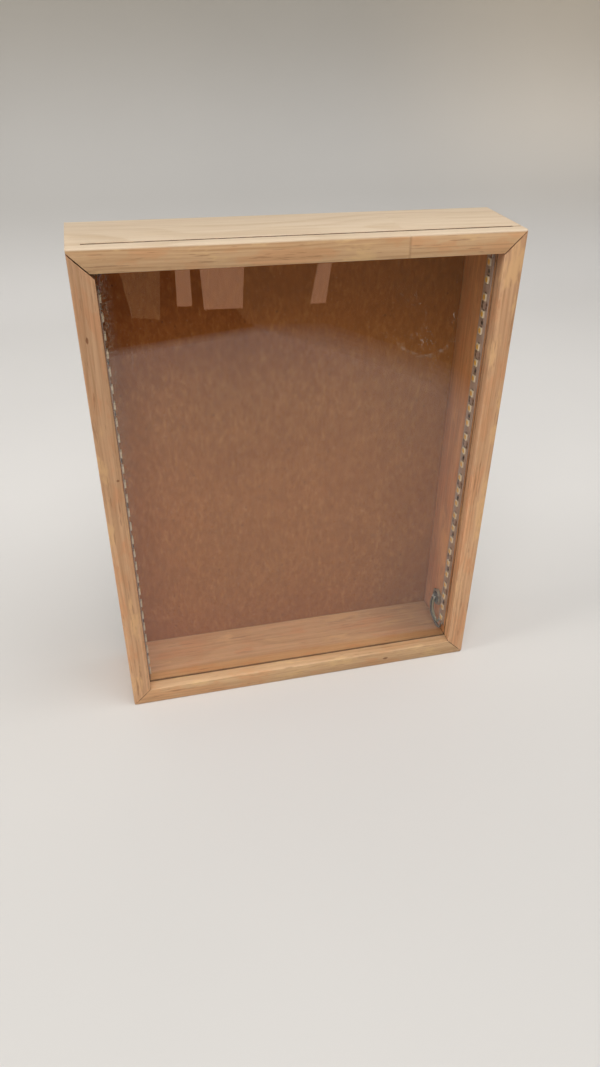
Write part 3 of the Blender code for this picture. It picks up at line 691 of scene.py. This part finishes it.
def led_package(shape, height):
    """A surface-mount LED: white body, metal feet and a round phosphor window."""
    add_block(shape, (PACKAGE.x / 2, 0, height), PACKAGE, WHITE, 0.09 * MM)
    for end in (-1, 1):
        foot = (FOOT.x / 2, 0, height + end * (PACKAGE.z / 2 + FOOT_PAST_PACKAGE))
        add_block(shape, foot, FOOT, METAL, 0.06 * MM)
    rim = PACKAGE.x
    lens = [
        (rim - 0.08 * MM, 0), (rim - 0.08 * MM, 1.32 * MM), (rim + 0.015 * MM, 1.28 * MM),
        (rim + 0.030 * MM, 0.8 * MM), (rim + 0.035 * MM, 0)]
    add_lathe(shape, lens, PHOSPHOR, 20, Matrix.Translation((0, 0, height)))


def led_resistor(shape, height):
    """A chip resistor beside the packages, with a metal cap at each end."""
    centre = Vector((0.26 * MM, 0.6 * MM, height))
    add_block(shape, centre, RESISTOR, DARK, 0.05 * MM)
    for end in (-1, 1):
        cap = centre + Vector((0, 0, end * CAP_OFFSET))
        add_block(shape, cap, RESISTOR_CAP, METAL, 0.06 * MM)


def led_strip(node, low_end, turn, segments, trim):
    """One run: tape, LED packages, one resistor a segment and tinned pads at each cut line.

    trim is how much tape is cut off the run's low end.
    """
    shape = bmesh.new()
    length = segments * SEGMENT
    add_block(
        shape, (-TAPE_THICKNESS / 2, 0, (length + trim) / 2),
        (TAPE_THICKNESS, TAPE_WIDTH, length - trim), TAPE, 0.04 * MM)
    for index in range(segments * 3):
        led_package(shape, LED_PITCH * (index + 0.5))
    for segment in range(segments):
        led_resistor(shape, segment * SEGMENT + 2 * LED_PITCH)
    for joint in range(segments + 1):
        for side in (-1, 1):
            for end in (-1, 1):
                height = joint * SEGMENT + end * PAD_FROM_CUT
                if trim + PAD_MARGIN < height < length - PAD_MARGIN:
                    add_block(shape, (PAD.x / 2, side * PAD_SIDE, height), PAD, METAL, 0.02 * MM)
    bmesh.ops.transform(shape, matrix=Matrix.Translation(low_end) @ turn, verts=shape.verts)
    look = node + "_look"
    strip = new_piece(look, from_shape(look, shape), "case", "led_strip", *STRIP_FINISHES)
    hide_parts(node)


def led_strips():
    """The three runs, each set where its CAD solid is."""
    low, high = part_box("led_strip_right")
    middle = (low.y + high.y) / 2
    half_turn = Matrix.Rotation(math.pi, 4, "Z")
    led_strip("led_strip_right", (high.x - TAPE_THICKNESS, middle, low.z), half_turn, 9, 0.0)
    low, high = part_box("led_strip_left")
    bottom = high.z - 9 * SEGMENT
    led_strip(
        "led_strip_left", (low.x + TAPE_THICKNESS, middle, bottom), Matrix.Identity(4), 9,
        low.z - bottom)
    low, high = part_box("led_strip_top")
    across = Matrix.Rotation(math.pi / 2, 4, "Y")
    led_strip("led_strip_top", (low.x, middle, high.z - TAPE_THICKNESS), across, 7, 0.0)


# ---------------------------------------------------------------- wires and jack

# Where the CAD's wires and tails end, and how far the solder drops there stand off the tape.
JUMPER_RADIUS = 0.5 * MM
JUMPER_DROP_OFFSET = 0.30 * MM
LEAD_DROP_OFFSET = 0.40 * MM
LEAD_SETBACKS = (15.0 * MM, 11.0 * MM)
LEAD_END_HEIGHT = 17.1 * MM
PIN_TAIL_HEIGHT = 29.1 * MM
CONTACT_TAIL_HEIGHT = 28.8 * MM


def solder(name, spots):
    """One piece of several drops, each a centre and three half widths."""
    shape = bmesh.new()
    for centre, size in spots:
        add_blob(shape, centre, size)
    new_piece(name, from_shape(name, shape, 80), "case", "plated_metal", "solder")


def wires():
    """The jumpers and the lead, rounded, with a drop of solder where each meets a run."""
    for node in sorted(NODES):
        if node.startswith(("jumper_", "lead_")):
            slot = "wire_black"
            if node.endswith("positive"):
                slot = "wire_red" if node.startswith("jumper_") else "wire_ivory"
            refined(node, "case", slot, slot, rounds=1, smooth_below=60)
    drop = Vector((0.42, 0.75, 0.85)) * MM
    flat_drop = Vector((0.85, 0.75, 0.42)) * MM
    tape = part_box("led_strip_right")[1].x - TAPE_THICKNESS
    wall = tape - JUMPER_DROP_OFFSET
    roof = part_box("led_strip_top")[1].z - TAPE_THICKNESS - JUMPER_DROP_OFFSET
    for pole in ("positive", "negative"):
        low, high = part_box("jumper_right_" + pole)
        y = (low.y + high.y) / 2
        solder("solder_jumpers_" + pole, [
            ((wall, y, low.z + JUMPER_RADIUS), drop),
            ((-wall, y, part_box("jumper_left_" + pole)[0].z + JUMPER_RADIUS), drop),
            ((low.x + JUMPER_RADIUS, y, roof), flat_drop),
            ((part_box("jumper_left_" + pole)[1].x - JUMPER_RADIUS, y, roof), flat_drop)])
    solder("solder_lead_ends", [
        ((tape - LEAD_DROP_OFFSET, CASE_FRONT + setback, LEAD_END_HEIGHT), drop)
        for setback in LEAD_SETBACKS])


def jack():
    """The barrel jack: eased housing, pin and contact, a chamfered nut and soldered tails."""
    refined("jack_housing", "case", "jack_plastic", "jack_black", 0.10 * MM)
    refined("jack_pin", "case", "plated_metal", "tinned", 0.06 * MM)
    refined("jack_contact", "case", "plated_metal", "tinned", 0.06 * MM)
    jack_nut()
    low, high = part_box("jack_pin")
    pin_y = (low.y + high.y) / 2
    blade_low, blade_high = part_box("jack_contact")
    blade_y = (blade_low.y + blade_high.y) / 2
    tails = [
        ((low.x + 0.45 * MM, pin_y, PIN_TAIL_HEIGHT), Vector((0.70, 0.80, 0.95)) * MM),
        ((blade_low.x + 0.45 * MM, blade_y, CONTACT_TAIL_HEIGHT),
         Vector((0.70, 0.62, 0.95)) * MM)]
    solder("solder_jack_tails", tails)


def jack_nut():
    """The hexagon nut: a bored prism whose corners are turned off at both faces."""
    low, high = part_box("jack_nut")
    bore = 3.91 * MM
    bore_lead_in = 0.15 * MM
    half_flats = 5.0 * MM
    face = 4.86 * MM
    chamfer = 0.34 * MM
    steps = 72
    centre = Vector(((low.x + high.x) / 2, (low.y + high.y) / 2, (low.z + high.z) / 2))
    half = (high.x - low.x) / 2
    levels = (
        (-half, bore + bore_lead_in, False), (-half, face, False), (-half + chamfer, face, True),
        (half - chamfer, face, True), (half, face, False), (half, bore + bore_lead_in, False),
        (half - bore_lead_in, bore, False), (-half + bore_lead_in, bore, False))
    shape = bmesh.new()
    rings = []
    for along, radius, hexagonal in levels:
        ring = []
        for step in range(steps):
            angle = math.tau * step / steps
            to_flat = (angle + math.tau / 12) % (math.tau / 6) - math.tau / 12
            reach = half_flats / math.cos(to_flat)
            if not hexagonal:
                reach = min(radius, reach)
            ring.append(shape.verts.new(
                centre + Vector((along, reach * math.cos(angle), reach * math.sin(angle)))))
        rings.append(ring)
    for first, second in zip(rings, rings[1:] + rings[:1]):
        for step in range(steps):
            after = (step + 1) % steps
            shape.faces.new((first[step], first[after], second[after], second[step]))
    bmesh.ops.recalc_face_normals(shape, faces=shape.faces)
    mesh = from_shape("jack_nut_look", shape, 32)
    nut = new_piece("jack_nut_look", mesh, "case", "plated_metal", "plating")
    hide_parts("jack_nut")


# ---------------------------------------------------------------- stage, lights and camera

def paper(name, colour):
    """Pale paper, slightly uneven, with painted light towards the back and at the far right, and
    painted shade up the backdrop.
    """
    s = Surface(name)
    place = s.coords()
    x, y, z = s.split(place)
    broad = s.noise(place, 3.0, 3.0)
    tint = s.mix(s.span(broad, 0.3, 0.7), colour, tuple(c * 0.97 for c in colour))
    # Painted light and shade: brighter towards the back and at the far right, darker up the backdrop,
    # as the lamps fall.
    tint = s.tint(s.span(y, -0.16, 0.30), tint, (1.23, 1.23, 1.24))
    tint = s.tint(s.span(z, -0.04, 0.10), tint, (0.65, 0.64, 0.62))
    tint = s.tint(s.span(z, 0.10, 0.36), tint, (0.69, 0.66, 0.61))
    far_right_light = s.all_of(s.span(x, 0.25, 0.70), s.span(z, 0.0, 0.20))
    tint = s.tint(far_right_light, tint, (1.34, 1.28, 1.20))
    s.shade(Base_Color=tint, Roughness=0.75, Specular_IOR_Level=0.2)
    return s.material


def sweep():
    """A pale floor that curves up into a backdrop well behind the object."""
    start, radius, top, half_width, near = 0.62, 0.40, 2.6, 3.5, -4.0
    outline = [(near, 0.0), (start, 0.0)]
    steps = 16
    for index in range(1, steps + 1):
        turn = math.radians(90) * index / steps
        outline.append((start + radius * math.sin(turn), radius * (1 - math.cos(turn))))
    outline.append((start + radius, top))
    mesh = bpy.data.meshes.new("sweep")
    verts = [(side * half_width, y, z) for y, z in outline for side in (-1, 1)]
    faces = [(2 * i, 2 * i + 1, 2 * i + 3, 2 * i + 2) for i in range(len(outline) - 1)]
    mesh.from_pydata(verts, [], faces)
    mesh.shade_smooth()
    floor = bpy.data.objects.new("sweep", mesh)
    bpy.context.scene.collection.objects.link(floor)
    mesh.materials.append(paper("sweep_paper", (0.780, 0.765, 0.742)))


def reflection_card(name, corners, colour, strength):
    """A card that only mirrored rays meet; to any other ray it is clear."""
    mesh = bpy.data.meshes.new(name)
    mesh.from_pydata(corners, [], [tuple(range(len(corners)))])
    card = bpy.data.objects.new(name, mesh)
    bpy.context.scene.collection.objects.link(card)
    glow = Surface(name + "_glow")
    light = glow.add("ShaderNodeEmission", {"Color": colour, "Strength": strength})
    unseen = glow.add("ShaderNodeBsdfTransparent")
    path = glow.add("ShaderNodeLightPath")
    mirrored = glow.above(path.outputs["Glossy Depth"], 0.5)
    both = glow.add("ShaderNodeMixShader", {0: mirrored, 1: unseen.outputs[0], 2: light.outputs[0]})
    glow.feed(glow.output.inputs["Surface"], both.outputs[0])
    mesh.materials.append(glow.material)
    card.visible_camera = False
    card.visible_diffuse = False
    card.visible_volume_scatter = False
    card.visible_shadow = False


def soft_edge(name, inner, outer, far_side, first, last, lift, steps=6):
    """Cards one over another, each starting a little further out, so that an edge fades.

    inner and outer are the edge's points where the fade begins and ends, and far_side closes
    each card. first and last are the colours at the fade's start and end.
    """
    for step in range(steps):
        part = step / (steps - 1)
        edge = [Vector(a).lerp(Vector(b), part) for a, b in zip(inner, outer)]
        colour = Vector(first).lerp(Vector(last), part)
        corners = [(spot[0], spot[1], lift * (1 + 0.02 * step)) for spot in edge + list(far_side)]
        reflection_card(name + "_" + str(step), corners, tuple(colour), 1.0)


def reflected_room():
    """What the pane mirrors past the table's front edge: a dark room with pale openings."""
    lift = 2 * MM
    table = (0.66, 0.63, 0.59)
    gloom = (0.04, 0.024, 0.014)
    wall = (0.33, 0.200, 0.095)
    table_edge = ((-2.5, 0.066), (2.5, -1.214))
    room_edge = ((-2.5, 0.042), (2.5, -1.238))
    soft_edge("dark_room", table_edge, room_edge, ((2.5, -5.0), (-2.5, -5.0)), table, gloom, lift, 4)
    inner = (
        (0.110, -0.582), (0.150, -0.535), (0.197, -0.467), (0.235, -0.41), (0.240, -0.30),
        (0.245, -0.20))
    outer = (
        (0.080, -0.628), (0.175, -0.610), (0.240, -0.515), (0.275, -0.455), (0.283, -0.35),
        (0.290, -0.20))
    far_side = ((0.90, -0.20), (0.90, -0.95), (0.05, -0.95))
    soft_edge("dark_side", inner, outer, far_side, table, wall, 1.2 * lift)
    bright = ((1.0, 0.55, 0.33), 1.8)
    dim = ((1.0, 0.60, 0.30), 0.55)
    openings = {
        "opening_a": (((-0.061, -0.874), (-0.003, -0.884), (-0.024, -0.660), (-0.057, -0.673)), dim),
        "opening_b": (((0.017, -0.870), (0.039, -0.872), (0.021, -0.705), (0.002, -0.705)), bright),
        "opening_c": (((0.053, -0.869), (0.119, -0.873), (0.083, -0.685), (0.034, -0.687)), bright),
        "opening_d": (((0.229, -0.864), (0.251, -0.866), (0.193, -0.685), (0.172, -0.685)), bright),
    }
    for name, (corners, glow) in openings.items():
        reflection_card(name, [(x, y, 2 * lift) for x, y in corners], *glow)


def area_light(name, place, aim, size, energy, colour):
    """A square area light aimed at a point."""
    data = bpy.data.lights.new(name, "AREA")
    data.size = size
    data.energy = energy
    data.color = colour
    lamp = bpy.data.objects.new(name, data)
    lamp.location = place
    lamp.rotation_euler = (Vector(aim) - Vector(place)).to_track_quat("-Z", "Y").to_euler()
    bpy.context.scene.collection.objects.link(lamp)


def light_stage():
    """Soft light from above, from high in front and from the left, with a pale surround."""
    bpy.context.scene.view_settings.view_transform = "Standard"
    world = bpy.data.worlds.new("studio")
    world.use_nodes = True
    back = world.node_tree.nodes["Background"]
    back.inputs["Color"].default_value = (0.92, 0.95, 1.0, 1)
    back.inputs["Strength"].default_value = 0.30
    bpy.context.scene.world = world
    area_light("overhead", (0.48, -0.30, 1.25), (0, -0.1, 0), 0.9, 6.9, (1.0, 0.98, 0.95))
    area_light("left_side", (-1.40, -0.16, 0.95), (0, 0, 0.12), 0.5, 7.6, (1.0, 0.97, 0.92))
    area_light("front_high", (-0.30, -1.0, 1.30), (0, 0, 0.1), 1.0, 10.2, (1.0, 0.98, 0.95))


def place_camera():
    """The camera, high in front and a little to the left."""
    data = bpy.data.cameras.new("view")
    data.sensor_width = 36.0
    data.lens = 27.41
    data.shift_x = -0.0209
    data.shift_y = 0.0258
    right = Vector((0.96680599, -0.25453498, 0.02231876))
    down = Vector((-0.12927188, -0.56261501, -0.81654953))
    ahead = Vector((0.22039729, 0.78655979, -0.57684377))
    turn = Matrix((right, -down, -ahead)).transposed().to_4x4()
    camera = bpy.data.objects.new("view", data)
    camera.matrix_world = Matrix.Translation((-0.089574, -0.373469, 0.341612)) @ turn
    bpy.context.scene.collection.objects.link(camera)
    bpy.context.scene.camera = camera


wooden_box()
led_strips()
wires()
jack()
sweep()
reflected_room()
light_stage()
place_camera()
